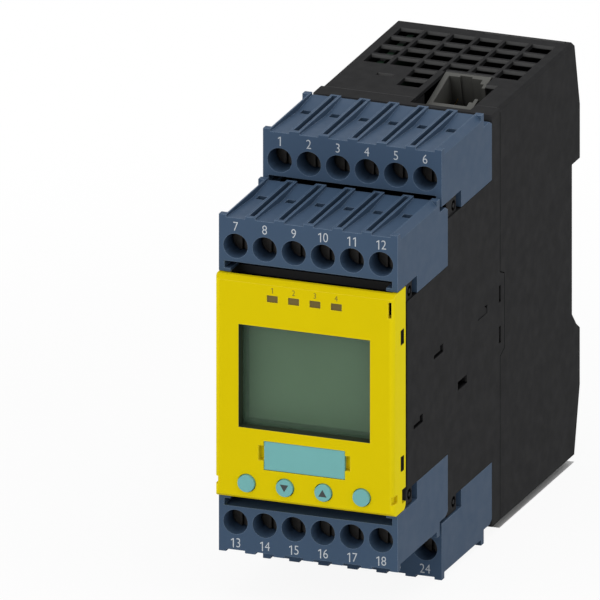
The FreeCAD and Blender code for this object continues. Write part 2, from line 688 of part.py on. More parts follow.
def cut_socket_opening(body):
    """Opening over the service socket, with a rib behind it and room for a finger at the right."""
    left = "socket_left - fit_gap"
    right = "socket_left + frame_opening"
    rib_back = "opening_back + vent_row_pitch - vent_length"
    add(body, "XY", "roof_under", "half_height", [rect(left, right, "opening_back", rib_back)])
    wide = "socket_left + finger_opening + fit_gap"
    step = "opening_back - finger_opening_back"
    front = "seam_depth - side_wall"
    cut(body, "XY", "roof_under - vent_wall", "half_height + vent_wall", [[
        (left, front),
        (wide, front),
        (wide, step),
        (right, step),
        (right, "opening_back"),
        (left, "opening_back"),
    ]])


def cut_top_marks(body):
    """A short slit left of the socket and a thin groove along the rear edge."""
    slit = box_round("-slit_place", "slit_back - slit_length / 2", "slit_width", "slit_length")
    cut(body, "XY", "roof_under - vent_wall", "half_height + vent_wall", [slit])
    groove = rect("fit_gap", "back_groove_width",
                  "back_groove_place", "back_groove_place + back_groove_depth")
    cut(body, "XY", "half_height - back_groove_depth", "half_height + vent_wall", [groove])


def add_rail_hooks(body):
    """Two fixed hooks that hold the rail's upper edge, over the windows that the mould leaves."""
    front = "rail_face + rail_thickness + hook_play"
    lip = [
        (front, "rail_top + hook_play"),
        (front, "rail_top - hook_reach"),
        ("%s + hook_tip" % front, "rail_top - hook_reach"),
        ("%s + hook_height" % front, "rail_top"),
        ("%s + hook_height" % front, "rail_top + hook_play"),
    ]
    for side in ("-", ""):
        left = "%s hook_spacing / 2 - hook_width / 2" % side
        right = "%s + hook_width" % left
        add(body, "YZ", left, right, [lip])
        window = rect("%s - hook_window" % left, "%s + hook_window" % right,
                      "rail_top - hook_reach - hook_window", "rail_top")
        cut(body, "XZ", "back_inside - side_wall", "rail_face + fit_gap", [window])


def cut_latch_channel(body):
    """Guide of the rail latch: wide along the floor, narrow at the back."""
    wide = "latch_width / 2 + latch_flange + slide_gap"
    narrow = "latch_width / 2 + slide_gap"
    lip = "bed_face + fit_gap + latch_flange_thickness + slide_gap"
    low = "-half_height - side_wall"
    cut(body, "XY", low, "-rail_bottom + side_wall", [rect("-(%s)" % wide, wide, "bed_face", lip)])
    cut(body, "XY", low, "latch_top + slide_gap",
        [rect("-(%s)" % narrow, narrow, "bed_face", "case_depth + side_wall")])


def build_rail_latch():
    """Sliding latch with a sloped nose, guide flanges and a screwdriver eye."""
    body = new_body("rail_latch")
    floor = "bed_face + fit_gap"
    nose_front = "rail_face + rail_thickness + hook_play"
    back = "%s + latch_thickness" % floor
    add(body, "YZ", "-latch_width / 2", "latch_width / 2", [[
        (floor, "latch_foot"),
        (back, "latch_foot"),
        (back, "latch_top - latch_nose_slope"),
        (nose_front, "latch_top"),
        (nose_front, "latch_top - latch_neck"),
        (floor, "latch_top - latch_neck"),
    ]])
    reach = "latch_width / 2 + latch_flange"
    add(body, "XZ", floor, "%s + latch_flange_thickness" % floor,
        [rect("-(%s)" % reach, reach, "latch_foot + latch_eye_margin", "latch_top - latch_neck")])
    cut(body, "XZ", "rail_face - side_wall", "case_depth + side_wall", [
        rect("-latch_eye_width / 2", "latch_eye_width / 2", "latch_foot + latch_eye_margin",
             "latch_foot + latch_eye_margin + latch_eye_height")])
    return seat(body)


def build_service_socket():
    """Modular socket with a stepped latch notch at the right, tilted forwards on its rear edge."""
    body = new_body("service_socket")
    add(body, "XY", "-socket_body", "0", [rect("0", "socket_width", "-socket_face", "0")])
    left = "socket_rim"
    right = "socket_rim + socket_mouth"
    step = "%s + socket_step_width" % right
    outside = "socket_width + side_wall"
    groove_right = "socket_key_place + socket_key_width"
    groove_back = "socket_key_depth - socket_rim"
    step_front, step_back, notch_front, notch_back = [
        "(%s %s) / 2" % (half, "- socket_face") for half in (
            "-socket_step_length", "socket_step_length", "-socket_notch_length", "socket_notch_length")]
    cut(body, "XY", "-socket_hole_depth", "side_wall", [[
        (left, "socket_rim - socket_face"),
        (right, "socket_rim - socket_face"),
        (right, step_front),
        (step, step_front),
        (step, notch_front),
        (outside, notch_front),
        (outside, notch_back),
        (step, notch_back),
        (step, step_back),
        (right, step_back),
        (right, "-socket_rim"),
        (groove_right, "-socket_rim"),
        (groove_right, groove_back),
        ("socket_key_place", groove_back),
        ("socket_key_place", "-socket_rim"),
        (left, "-socket_rim"),
    ]])
    return tilt_with_socket(body)


def tilt_with_socket(body):
    """Hangs a socket piece on the rear edge of the top opening."""
    tilt = FreeCAD.Rotation(FreeCAD.Vector(1, 0, 0), measure("socket_tilt"))
    body.Placement = FreeCAD.Placement(FreeCAD.Vector(), tilt)
    bind(body, Placement__Base__x="socket_left", Placement__Base__y="socket_back - mid_depth",
         Placement__Base__z="half_height - fit_gap + base_level",
         Placement__Rotation__Angle="socket_tilt")
    return body


def build_socket_contacts():
    """Row of spring contacts that lean into the mouth from its left wall."""
    body = new_body("socket_contacts")
    base = "socket_rim"
    leaf = [
        (base, "contact_width - socket_hole_depth"),
        ("%s + contact_rise" % base, "-socket_hole_depth / 2"),
        ("%s + contact_rise" % base, "contact_width - socket_hole_depth / 2"),
        (base, "contact_width * 2 - socket_hole_depth"),
    ]
    for index in range(count("contact_count")):
        middle = "-socket_face / 2 + " + spread("contact_count", "contact_pitch", index)
        add(body, "XZ", "%s - contact_width / 2" % middle, "%s + contact_width / 2" % middle, [leaf])
    return tilt_with_socket(body)


def build_front_cover():
    body = new_body("front_cover")
    add(body, "YZ", "-half_width", "half_width", [[
        ("0", "cover_bevel_height - cover_half"),
        ("cover_bevel_depth", "-cover_half"),
        ("flange_depth", "-cover_half"),
        ("flange_depth", "cover_half"),
        ("cover_bevel_depth", "cover_half"),
        ("0", "cover_half - cover_bevel_height"),
    ]])
    inner = "half_width - flange_wall"
    cut(body, "XZ", "cover_plate", "flange_depth + side_wall",
        [rect("-(%s)" % inner, inner, "-cover_half - side_wall", "cover_half + side_wall")])
    soften(body, "Fillet", "cover_corner",
           lambda edge: straight(edge, (0, 0, 1)) and near(edge.CenterOfMass.y, "0"))
    soften(body, "Fillet", "flange_corner",
           lambda edge: straight(edge, (1, 0, 0)) and near(edge.CenterOfMass.y, "flange_depth")
           and edge.CenterOfMass.z < 0)
    window = window_outline("0")
    lights = [box_round(place, "light_level", "light_width", "light_height") for place in light_places()]
    keys = [(place, "-key_level", "key_radius + slide_gap") for place in key_places()]
    lift_slot = box_round("lift_slot_place", "lift_slot_level", "lift_slot_width", "lift_slot_height")
    cut(body, "XZ", "-side_wall", "cover_plate + side_wall", [window, lift_slot] + lights, keys)
    pocket = rect("lift_slot_place - lift_pocket_reach", "lift_slot_place + lift_slot_width / 2",
                  "lift_slot_level - lift_slot_height / 2", "lift_slot_level + lift_slot_height / 2")
    cut(body, "XZ", "lift_skin", "cover_plate + side_wall", [pocket])
    label = box_round("0", "-label_level", "(label_width + fit_gap * 2)", "(label_height + fit_gap * 2)")
    cut(body, "XZ", "-side_wall", "label_sink + label_thickness + fit_gap", [label])
    inner_end = "label_width / 2 - fit_gap"
    pry = rect(inner_end, "label_width / 2 + pry_width",
               "-pry_level - pry_height / 2", "-pry_level + pry_height / 2")
    cut(body, "XZ", "-side_wall", "pry_depth", both_sides(pry))
    edge_notch = box_round("half_width", "-edge_notch_level", "edge_notch_width * 2", "edge_notch_height")
    cut(body, "XZ", "-side_wall", "cover_plate", both_sides(edge_notch))
    notch = box_round("flange_depth", "-flange_notch_level",
                      "flange_notch_depth * 2", "flange_notch_height")
    slots = above_and_below(
        box_round("flange_slot_place", "flange_slot_level", "flange_slot_width", "flange_slot_height"))
    cut(body, "YZ", "-half_width - side_wall", "half_width + side_wall", [notch] + slots)
    return seat(body)


def light_places():
    return [spread("light_count", "light_pitch", index) for index in range(count("light_count"))]


def key_places():
    return [spread(str(len(KEY_NAMES)), "key_pitch", index) for index in range(len(KEY_NAMES))]


def window_outline(margin):
    """The display opening, wider by a margin."""
    return box_round("0", "window_level", "(window_width + (%s) * 2)" % margin,
                     "(window_height + (%s) * 2)" % margin)


def build_display():
    """Clear window, dark frame and display, one behind the other."""
    window = new_body("display_window")
    add(window, "XZ", "cover_plate + fit_gap", "window_back", [window_outline("window_border")])
    frame = new_body("display_frame")
    add(frame, "XZ", "window_back + fit_gap", "board_face - fit_gap",
        [window_outline("window_border"), window_outline("0")])
    display = new_body("lcd_cell")
    add(display, "XZ", "display_depth", "display_depth + display_thickness",
        [window_outline("display_margin")])
    return [seat(piece) for piece in (window, frame, display)]


def build_display_board():
    """Board behind the cover, with a cut-out that holds the display."""
    board = new_body("display_board")
    add(board, "XZ", "board_face", "board_back",
        [box_round("0", "0", "display_board_width", "display_board_height")])
    cut(board, "XZ", "board_face - side_wall", "board_back + side_wall",
        [window_outline("display_margin + fit_gap")])
    return seat(board)


def build_label_plate():
    body = new_body("label_plate")
    add(body, "XZ", "label_sink", "label_sink + label_thickness",
        [box_round("0", "-label_level", "label_width", "label_height")])
    return seat(body)


def build_light_pipes():
    """Strip behind the cover with one clear pipe to each status window."""
    body = new_body("light_pipes")
    reach = "light_pitch * (light_count - 1) / 2 + light_width"
    strip_back = "cover_plate + fit_gap + light_strip_thickness"
    strip = rect("-(%s)" % reach, reach,
                 "light_level - light_strip_height / 2", "light_level + light_strip_height / 2")
    add(body, "XZ", "cover_plate + fit_gap", strip_back, [strip])
    pipes = [box_round(place, "light_level",
                       "(light_width - fit_gap * 2)", "(light_height - fit_gap * 2)")
             for place in light_places()]
    add(body, "XZ", "light_sink", "board_face - chip_height - fit_gap", pipes)
    return seat(body)


def build_status_leds():
    body = new_body("status_leds")
    chips = [box_round(place, "light_level", "chip_width", "chip_length") for place in light_places()]
    add(body, "XZ", "board_face - chip_height", "board_face", chips)
    return seat(body)


def build_keys():
    """Round keys with a collar behind the cover and a short stem."""
    keys = []
    for label, place in zip(KEY_NAMES, key_places()):
        body = new_body(label)
        add(body, "XZ", "-key_proud", "key_back", circles=[(place, "-key_level", "key_radius")])
        add(body, "XZ", "cover_plate + fit_gap", "key_back",
            [box_round(place, "-key_level", "key_collar_width", "key_collar_height")])
        add(body, "XZ", "key_back - fit_gap", "key_back + key_stem_length",
            [square(place, "-key_level", "key_stem_width")])
        keys.append(seat(body))
    return keys


def build_push_switches():
    body = new_body("push_switches")
    bodies = [box_round(place, "-key_level", "switch_width", "switch_height") for place in key_places()]
    add(body, "XZ", "switch_face", "board_face", bodies)
    plungers = [square(place, "-key_level", "switch_plunger_width") for place in key_places()]
    add(body, "XZ", "plunger_face", "switch_face + fit_gap", plungers)
    return seat(body)


class Terrace:
    """Where one terminal block stands, always worked out for the upper side."""

    def __init__(self, level, tier):
        self.name = "%s_%s" % (level, tier)
        self.lower = level == "lower"
        self.front = "block_front" if tier == "front" else "(block_front + tier_pitch)"
        self.floor = "(neck_half + fit_gap)" if tier == "front" else "(rear_floor + fit_gap)"
        self.step = "front_step" if tier == "front" else "rear_step"

    def behind(self, text):
        return "%s + %s" % (self.front, text)

    def above(self, text):
        return "%s + %s" % (self.floor, text)

    def at_screws(self, side):
        return [square(pole, self.above("screw_level"), side) for pole in self.poles()]

    def poles(self):
        return [spread("pole_count", "pole_pitch", index) for index in range(count("pole_count"))]


def build_terminal_block(terrace):
    """Moulded plug-in block: skirted front, ribbed top, wire funnels, screw wells and clamp cells."""
    body = new_body("terminal_block_" + terrace.name)
    behind, above = terrace.behind, terrace.above
    top = above("block_height")
    add(body, "YZ", "-half_width", "half_width", [[
        (behind("0"), above("skirt_level")),
        (behind("0"), top),
        (behind("ridge_depth"), top),
        (behind("ridge_depth"), above("shelf_level")),
        (behind("shelf_depth"), above("shelf_level")),
        (behind("block_depth"), above("back_level")),
        (behind("block_depth"), above("0")),
        (behind("skirt_depth"), above("0")),
        (behind("skirt_depth"), above("skirt_level")),
    ]])
    core = "half_width - core_inset"
    add(body, "XY", above("0"), above("skirt_level"),
        [rect("-(%s)" % core, core, behind("core_start"), behind("skirt_depth + fit_gap"))])
    gap_half = "half_width - block_side_wall"
    foot = "%s - foot_reach" % gap_half
    half_recess = [
        (foot, above("skirt_level - side_wall")),
        (foot, above("skirt_level + foot_height")),
        (gap_half, above("skirt_level + foot_height")),
        (gap_half, above("face_level")),
    ]
    mirrored = [("-(%s)" % u, v) for u, v in reversed(half_recess)]
    cut(body, "XZ", "0", behind("recess_depth"), [half_recess + mirrored])
    shave_top_edges(body, terrace)
    cut_funnels(body, terrace)
    cut_wells_and_cells(body, terrace)
    return seat(body, terrace.lower)


def shave_top_edges(body, terrace):
    """45 degree chamfer along both outer top edges, between the square posts."""
    top = terrace.above("block_height")
    over = "fit_gap"
    wedge = [
        ("half_width - top_chamfer - %s" % over, "%s + %s" % (top, over)),
        ("half_width + %s" % over, "%s - top_chamfer - %s" % (top, over)),
        ("half_width + %s" % over, "%s + %s" % (top, over)),
    ]
    cut(body, "XZ", terrace.behind("corner_post"), terrace.behind("ridge_depth - corner_post"),
        both_sides(wedge))


def cut_funnels(body, terrace):
    """Shallow V funnels that lead each wire to its hole, and the grooves in the ribs between them."""
    behind, above = terrace.behind, terrace.above
    top = above("block_height")
    first = "pole_pitch * (1 - pole_count) / 2 - funnel_width / 2"
    funnel = cut(body, "YZ", first, "%s + funnel_width" % first, [[
        (behind("-side_wall"), "%s - funnel_lip" % top),
        (behind("0"), "%s - funnel_lip" % top),
        (behind("funnel_middle"), "%s - funnel_drop" % top),
        (behind("ridge_depth + fit_gap"), "%s - funnel_lip" % top),
        (behind("ridge_depth + fit_gap"), "%s + side_wall" % top),
        (behind("-side_wall"), "%s + side_wall" % top),
    ]])
    repeat(body, funnel, "pole_pitch", "pole_count")
    holes = [box_round(pole, behind("funnel_middle"), "wire_hole_width", "wire_hole_length")
             for pole in terrace.poles()]
    cut(body, "XY", above("cell_roof - side_wall"), top, holes)
    grooves = [rect("%s + (pole_pitch - groove_width) / 2" % pole,
                    "%s + (pole_pitch + groove_width) / 2" % pole,
                    behind("groove_start"), behind("groove_end")) for pole in terrace.poles()[:-1]]
    cut(body, "XY", "%s - groove_depth" % top, "%s + side_wall" % top, grooves)


def cut_wells_and_cells(body, terrace):
    """Round wells over the screws, and the cells behind them that are open at the back."""
    behind, above = terrace.behind, terrace.above
    cut(body, "XZ", behind("-side_wall"), behind("cell_start + fit_gap"),
        circles=[(pole, above("screw_level"), "screw_hole_radius") for pole in terrace.poles()])
    cells = [rect("%s - cell_width / 2" % pole, "%s + cell_width / 2" % pole,
                  above("cell_floor"), above("cell_roof")) for pole in terrace.poles()]
    cut(body, "XZ", behind("cell_start"), behind("block_depth + side_wall"), cells)


def build_terminal_screws(terrace):
    """Slotted screws at the bottom of the wells."""
    body = new_body("terminal_screws_" + terrace.name)
    behind = terrace.behind
    level = terrace.above("screw_level")
    first = terrace.poles()[0]
    outline = many_sided(first, level, "screw_head_radius", "screw_corners")
    head = add(body, "XZ", behind("screw_sink"), behind("screw_sink + screw_head_length"), [outline])
    repeat(body, head, "pole_pitch", "pole_count", "H_Axis")
    add(body, "XZ", behind("screw_sink + screw_head_length / 2"), behind("screw_sink + screw_length"),
        terrace.at_screws("screw_shank_width"))
    slots = [box_round(pole, level, "screw_slot_width", "screw_head_radius * 3")
             for pole in terrace.poles()]
    cut(body, "XZ", behind("0"), behind("screw_sink + screw_slot_depth"), slots)
    return seat(body, terrace.lower)


def build_clamp_cages(terrace):
    """Box clamps with a wire window, and the sleeve that takes the header's pin."""
    body = new_body("clamp_cages_" + terrace.name)
    behind, above = terrace.behind, terrace.above
    low = above("cell_floor + fit_gap")
    high = above("cell_roof - fit_gap")
    end = "cage_start + cage_length"
    cages = [rect("%s - cage_width / 2" % pole, "%s + cage_width / 2" % pole, low, high)
             for pole in terrace.poles()]
    add(body, "XZ", behind("cage_start"), behind(end), cages)
    sleeves = [square(pole, above("pin_level"), "sleeve_width") for pole in terrace.poles()]
    add(body, "XZ", behind(end + " - cage_back_wall"), behind(end + " + sleeve_length"), sleeves)
    windows = [rect("%s - cage_width / 2 + cage_wall" % pole, "%s + cage_width / 2 - cage_wall" % pole,
                    behind("cage_start + cage_front_wall"), behind(end + " - cage_back_wall"))
               for pole in terrace.poles()]
    cut(body, "XY", "%s + cage_wall" % low, "%s + cage_wall" % high, windows)
    cut(body, "XZ", behind("cage_start - side_wall"), behind("cage_start + cage_front_wall"),
        terrace.at_screws("thread_hole_width"))
    bores = [square(pole, above("pin_level"), "sleeve_bore") for pole in terrace.poles()]
    cut(body, "XZ", behind(end), behind(end + " + sleeve_length + side_wall"), bores)
    return seat(body, terrace.lower)


def pin_slot(level):
    """One slot that takes all pins of a header."""
    reach = "pole_pitch * (pole_count - 1) / 2 + pin_width / 2"
    return rect("-(%s)" % reach, reach, "%s - pin_width / 2" % level, "%s + pin_width / 2" % level)


def build_pin_header(terrace):
    """Header bar in the step wall and its square pins."""
    level = terrace.above("pin_level")
    reach = header_half_width()
    bar_back = "%s + side_wall + header_lip" % terrace.step
    bar = new_body("pin_header_" + terrace.name)
    add(bar, "XZ", terrace.step, bar_back,
        [box_round("0", level, "(%s) * 2" % reach, "header_height")])
    cut(bar, "XZ", "%s - side_wall" % terrace.step, "%s + side_wall" % bar_back, [pin_slot(level)])
    pins = new_body("header_pins_" + terrace.name)
    add(pins, "XZ", terrace.behind("block_depth - pin_reach"), "%s + pin_tail" % bar_back,
        [square(pole, level, "pin_width") for pole in terrace.poles()])
    return [seat(bar, terrace.lower), seat(pins, terrace.lower)]


def build_terminal_board(terrace):
    """Small board that the header's pins are soldered to."""
    level = terrace.above("pin_level")
    body = new_body("terminal_board_" + terrace.name)
    start = "%s + side_wall + header_lip + fit_gap" % terrace.step
    reach = header_half_width()
    add(body, "XZ", start, "%s + board_thickness" % start,
        [rect("-(%s)" % reach, reach, "%s - terminal_board_drop" % level,
              "%s + terminal_board_rise" % level)])
    cut(body, "XZ", "%s - side_wall" % start, "%s + board_thickness + side_wall" % start,
        [pin_slot(level)])
    return seat(body, terrace.lower)


def build_long_board(label, side_face):
    """Board along the depth: as tall as the neck in front, and as the case behind the rear step."""
    body = new_body(label)
    low_half = "neck_half - side_wall - board_edge_gap"
    high_half = "roof_under - board_edge_gap"
    wide_from = "rear_step + side_wall + header_lip + pin_tail + side_wall + board_edge_gap"
    end = "back_inside - board_edge_gap"
    upper = [("board_front", low_half), (wide_from, low_half), (wide_from, high_half), (end, high_half)]
    mirrored = [(u, "-(%s)" % v) for u, v in reversed(upper)]
    add(body, "YZ", side_face, "%s + board_thickness" % side_face, [upper + mirrored])
    return seat(body)


def build_inner_parts():
    """What the case holds: two long boards, relays, transformer and capacitors."""
    control_face = "board_thickness - control_board_place"
    pieces = [
        build_long_board("control_board", "-control_board_place"),
        build_long_board("logic_board", "logic_board_place"),
    ]
    for label, side in (("upper_relay", ""), ("lower_relay", "-")):
        body = new_body(label)
        level = "%s relay_level" % side
        add(body, "YZ", control_face, "%s + relay_width" % control_face,
            [rect("relay_start", "relay_start + relay_length",
                  "%s - relay_height / 2" % level, "%s + relay_height / 2" % level)])
        pieces.append(seat(body))
    core = new_body("transformer")
    add(core, "YZ", control_face, "%s + transformer_width" % control_face,
        [rect("transformer_start", "transformer_start + transformer_size",
              "-transformer_level - transformer_size / 2", "-transformer_level + transformer_size / 2")])
    pieces.append(seat(core))
    cans = new_body("capacitors")
    places = [square("capacitor_start + capacitor_pitch * %d" % index, "0", "capacitor_side")
              for index in range(count("capacitor_count"))]
    add(cans, "YZ", control_face, "%s + capacitor_length" % control_face, places)
    pieces.append(seat(cans))
    return pieces


def check_document():
    """Every object has to be sound before anything is written."""
    for item in doc.Objects:
        if "Invalid" in item.State or "Error" in item.State:
            raise ValueError("%s is %s" % (item.Label, item.State))


def check_piece(piece):
    shape = piece.Shape
    if shape.isNull() or not shape.isValid() or not shape.Solids:
        raise ValueError("%s has no sound shape" % piece.Label)


def main():
    fill_sheet()
    pieces = [build_front_housing(), build_rear_housing(), build_front_cover()]
    pieces += build_display()
    pieces += [build_display_board(), build_label_plate(), build_light_pipes(), build_status_leds()]
    pieces += build_keys()
    pieces += [build_push_switches(), build_service_socket(), build_socket_contacts(), build_rail_latch()]
    for level in ("upper", "lower"):
        for tier in ("front", "rear"):
            terrace = Terrace(level, tier)
            pieces += [build_terminal_block(terrace), build_terminal_screws(terrace)]
            pieces.append(build_clamp_cages(terrace))
            pieces += build_pin_header(terrace)
            pieces.append(build_terminal_board(terrace))
    pieces += build_inner_parts()
    doc.recompute()
    check_document()
    os.makedirs("parts", exist_ok=True)
    for piece in pieces:
        check_piece(piece)
        piece.Shape.exportStep("parts/%s.step" % piece.Label)


main()
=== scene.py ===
import json
import math

import bmesh
import bpy
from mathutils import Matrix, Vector


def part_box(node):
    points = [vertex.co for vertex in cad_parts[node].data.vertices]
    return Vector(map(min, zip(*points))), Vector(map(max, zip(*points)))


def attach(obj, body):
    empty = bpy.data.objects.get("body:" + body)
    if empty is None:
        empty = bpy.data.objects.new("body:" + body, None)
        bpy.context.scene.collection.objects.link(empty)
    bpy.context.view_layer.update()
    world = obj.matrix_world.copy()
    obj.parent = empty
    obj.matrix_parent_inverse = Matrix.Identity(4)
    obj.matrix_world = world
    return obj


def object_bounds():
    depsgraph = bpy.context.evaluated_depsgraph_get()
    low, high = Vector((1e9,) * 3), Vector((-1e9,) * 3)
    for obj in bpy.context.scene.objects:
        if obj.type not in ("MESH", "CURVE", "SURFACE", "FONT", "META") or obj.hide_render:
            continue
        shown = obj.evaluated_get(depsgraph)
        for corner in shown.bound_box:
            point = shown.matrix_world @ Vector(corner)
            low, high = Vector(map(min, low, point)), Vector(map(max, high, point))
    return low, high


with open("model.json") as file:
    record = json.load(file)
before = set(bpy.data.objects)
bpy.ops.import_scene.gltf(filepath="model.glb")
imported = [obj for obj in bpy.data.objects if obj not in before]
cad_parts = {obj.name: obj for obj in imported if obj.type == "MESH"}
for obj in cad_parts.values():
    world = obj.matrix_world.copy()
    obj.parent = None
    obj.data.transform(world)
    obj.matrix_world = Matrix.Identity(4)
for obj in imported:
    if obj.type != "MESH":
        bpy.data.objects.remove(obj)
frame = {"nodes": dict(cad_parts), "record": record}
cad_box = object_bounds()

# Lengths are metres, in the part's own frame: the cover faces -Y and the rail is on the +Y side.
MM = 0.001
NODES = frame["nodes"]
LEVELS = ("upper", "lower")
TIERS = ("front", "rear")

# Camera: a parallel view from the right and from above.
VIEW_RIGHT = 1 / 3
VIEW_UP = 1 / 3
VIEW_TARGET = Vector((0.0, -64.455 * MM, 78.70 * MM))
VIEW_SPAN = 141.18 * MM
VIEW_DISTANCE = 1.0

# Colours as they look on a screen, from 0 to 255.
COLOURS = {
    "case": (34, 34, 35),
    # painted light on the case's faces that look forward
    "case_front_lit": (58, 58, 59),
    # painted highlight on the top strip of the vent walls
    "vent_wall_lit": (92, 92, 92),
    "seal": (48, 56, 42),
    # painted shade: near-black for the slot plates on the cover's flanges and for the seam strip
    "shade_black": (8, 7, 5),
    "cover": (216, 194, 6),
    # painted highlight along the cover's edges
    "cover_edge_highlight": (236, 214, 60),
    # painted light on the cover's left and right faces
    "cover_side_lit": (240, 220, 20),
    "block": (62, 81, 104),
    # painted highlight along the blocks' edges
    "block_edge_highlight": (122, 140, 160),
    "teal": (113, 174, 173),
    "window": (104, 134, 108),
    "frame": (40, 50, 46),
    "display": (86, 113, 86),
    "pipe": (106, 91, 46),
    "chip": (196, 188, 150),
    "socket": (84, 84, 81),
    "latch": (52, 52, 54),
    "board": (16, 36, 25),
    "copper": (22, 48, 31),
    "steel": (150, 144, 136),
    "screw": (60, 58, 56),
    "gold": (206, 170, 96),
    "relay": (188, 190, 186),
    "sleeve": (34, 36, 62),
    "print_light": (186, 192, 198),
    "print_dark": (52, 58, 58),
    "print_olive": (104, 90, 16),
}


def calculate(tree, operation, *values, clamp=False):
    """A maths node between numbers, or between the outputs that give them."""
    node = tree.nodes.new("ShaderNodeMath")
    node.operation = operation
    node.use_clamp = clamp
    for socket, value in zip(node.inputs, values):
        if isinstance(value, float):
            socket.default_value = value
        else:
            tree.links.new(value, socket)
    return node.outputs[0]


def linear(name):
    """A named colour in linear light, with alpha."""
    parts = []
    for part in COLOURS[name]:
        share = part / 255
        parts.append(share / 12.92 if share <= 0.04045 else ((share + 0.055) / 1.055) ** 2.4)
    return (*parts, 1.0)


class Look:
    """A material with one principled shader, and short ways to add nodes to it."""

    def __init__(self, name):
        self.material = bpy.data.materials.new(name)
        self.material.use_nodes = True
        self.tree = self.material.node_tree
        self.shader = self.tree.nodes["Principled BSDF"]
        self.places = self.tree.nodes.new("ShaderNodeTexCoord").outputs["Object"]

    def put(self, **values):
        """Sets constant numbers and colours on the shader's own sockets."""
        for name, value in values.items():
            self.shader.inputs[name.replace("_", " ")].default_value = value
        return self

    def link(self, source, target):
        self.tree.links.new(source, target)

    def noise(self, size, detail=3.0, stretch=(1, 1, 1)):
        """Noise whose grains are about one size across, in metres."""
        scaled = self.tree.nodes.new("ShaderNodeVectorMath")
        scaled.operation = "MULTIPLY"
        scaled.inputs[1].default_value = [share / size for share in stretch]
        self.link(self.places, scaled.inputs[0])
        node = self.tree.nodes.new("ShaderNodeTexNoise")
        node.inputs["Scale"].default_value = 1.0
        node.inputs["Detail"].default_value = detail
        self.link(scaled.outputs[0], node.inputs["Vector"])
        return node.outputs["Fac"]

    def spread(self, source, low, high, start=0.3, end=0.7):
        """Maps a texture to a span of numbers."""
        node = self.tree.nodes.new("ShaderNodeMapRange")
        for name, value in (("From Min", start), ("From Max", end), ("To Min", low), ("To Max", high)):
            node.inputs[name].default_value = value
        self.link(source, node.inputs["Value"])
        return node.outputs["Result"]

    def blend(self, source, first, second):
        """Mixes two linear colours, or the outputs that give them, by a texture for the base colour."""
        node = self.tree.nodes.new("ShaderNodeMix")
        node.data_type = "RGBA"
        for name, colour in (("A", first), ("B", second)):
            if isinstance(colour, tuple):
                node.inputs[name].default_value = colour
            else:
                self.link(colour, node.inputs[name])
        self.link(source, node.inputs["Factor"])
        self.link(node.outputs["Result"], self.shader.inputs["Base Color"])
        return node.outputs["Result"]

    def facing(self, direction):
        """1 on faces that look along a direction of the part, less on sloped ones and 0 on the others."""
        node = self.tree.nodes.new("ShaderNodeVectorMath")
        node.operation = "DOT_PRODUCT"
        node.inputs[1].default_value = direction
        self.link(self.tree.nodes.new("ShaderNodeTexCoord").outputs["Normal"], node.inputs[0])
        return self.spread(node.outputs["Value"], 0, 1, start=0, end=1)

    def height(self, low, high):
        """0 below one height of the part and 1 above another."""
        node = self.tree.nodes.new("ShaderNodeSeparateXYZ")
        self.link(self.places, node.inputs[0])
        return self.spread(node.outputs["Z"], 0, 1, start=low, end=high)

    def edges(self, reach, start, end):
        """1 on a narrow band beside each edge and 0 on the flat faces."""
        rounded = self.tree.nodes.new("ShaderNodeBevel")
        rounded.samples = EDGE_SAMPLES
        rounded.inputs["Radius"].default_value = reach
        node = self.tree.nodes.new("ShaderNodeVectorMath")
        node.operation = "DOT_PRODUCT"
        self.link(rounded.outputs["Normal"], node.inputs[0])
        self.link(self.tree.nodes.new("ShaderNodeNewGeometry").outputs["Normal"], node.inputs[1])
        return self.spread(node.outputs["Value"], 1, 0, start=end, end=start)

    def hollows(self, reach):
        """0 in a deep hole or gap and 1 on an open face."""
        node = self.tree.nodes.new("ShaderNodeAmbientOcclusion")
        node.samples = HOLLOW_SAMPLES
        node.inputs["Distance"].default_value = reach
        return node.outputs["AO"]

    def bump(self, source, height):
        """Relief of a height in metres."""
        node = self.tree.nodes.new("ShaderNodeBump")
        node.inputs["Strength"].default_value = 1.0
        node.inputs["Distance"].default_value = height
        self.link(source, node.inputs["Height"])
        self.link(node.outputs["Normal"], self.shader.inputs["Normal"])
        return self


def shaded(colour, share):
    """The colour made lighter or darker."""
    return (*[part * share for part in colour[:3]], 1.0)


# Painted shade in hollows: how far they are felt, the openness at which the painted shade is darkest and gone, and
# how dark it is.
CASE_HOLLOW_SHADE = (5 * MM, 0.28, 0.55, 0.05)
BLOCK_HOLLOW_SHADE = (4 * MM, 0.0, 0.3, 0.5)
SOCKET_HOLLOW_SHADE = (8 * MM, 0.12, 0.6, 0.12)
INNER_HOLLOW_SHADE = (20 * MM, 0.6, 1.0, 0.02)
# Painted light on faces that look forward: the openness at which their lighter colour starts and is full.
FRONT_LIT_OPENNESS = (0.34, 0.5)
# Painted highlight on the walls of the vents: the heights between which their lighter upper edge comes in.
VENT_HIGHLIGHT = (104.05 * MM, 104.3 * MM)
HOLLOW_SAMPLES = 8
EDGE_SAMPLES = 6
# Moulded faces: the size of their colour drift, of their gloss patches, and how much the gloss swings.
DRIFT_SIZE = 9 * MM
GLOSS_PATCH = 3 * MM
GLOSS_SWING = 0.05
# Painted highlights along edges: their width, and how far the face bends where they start and where they are full.
EDGE_HIGHLIGHT = (0.16 * MM, 0.995, 0.9)


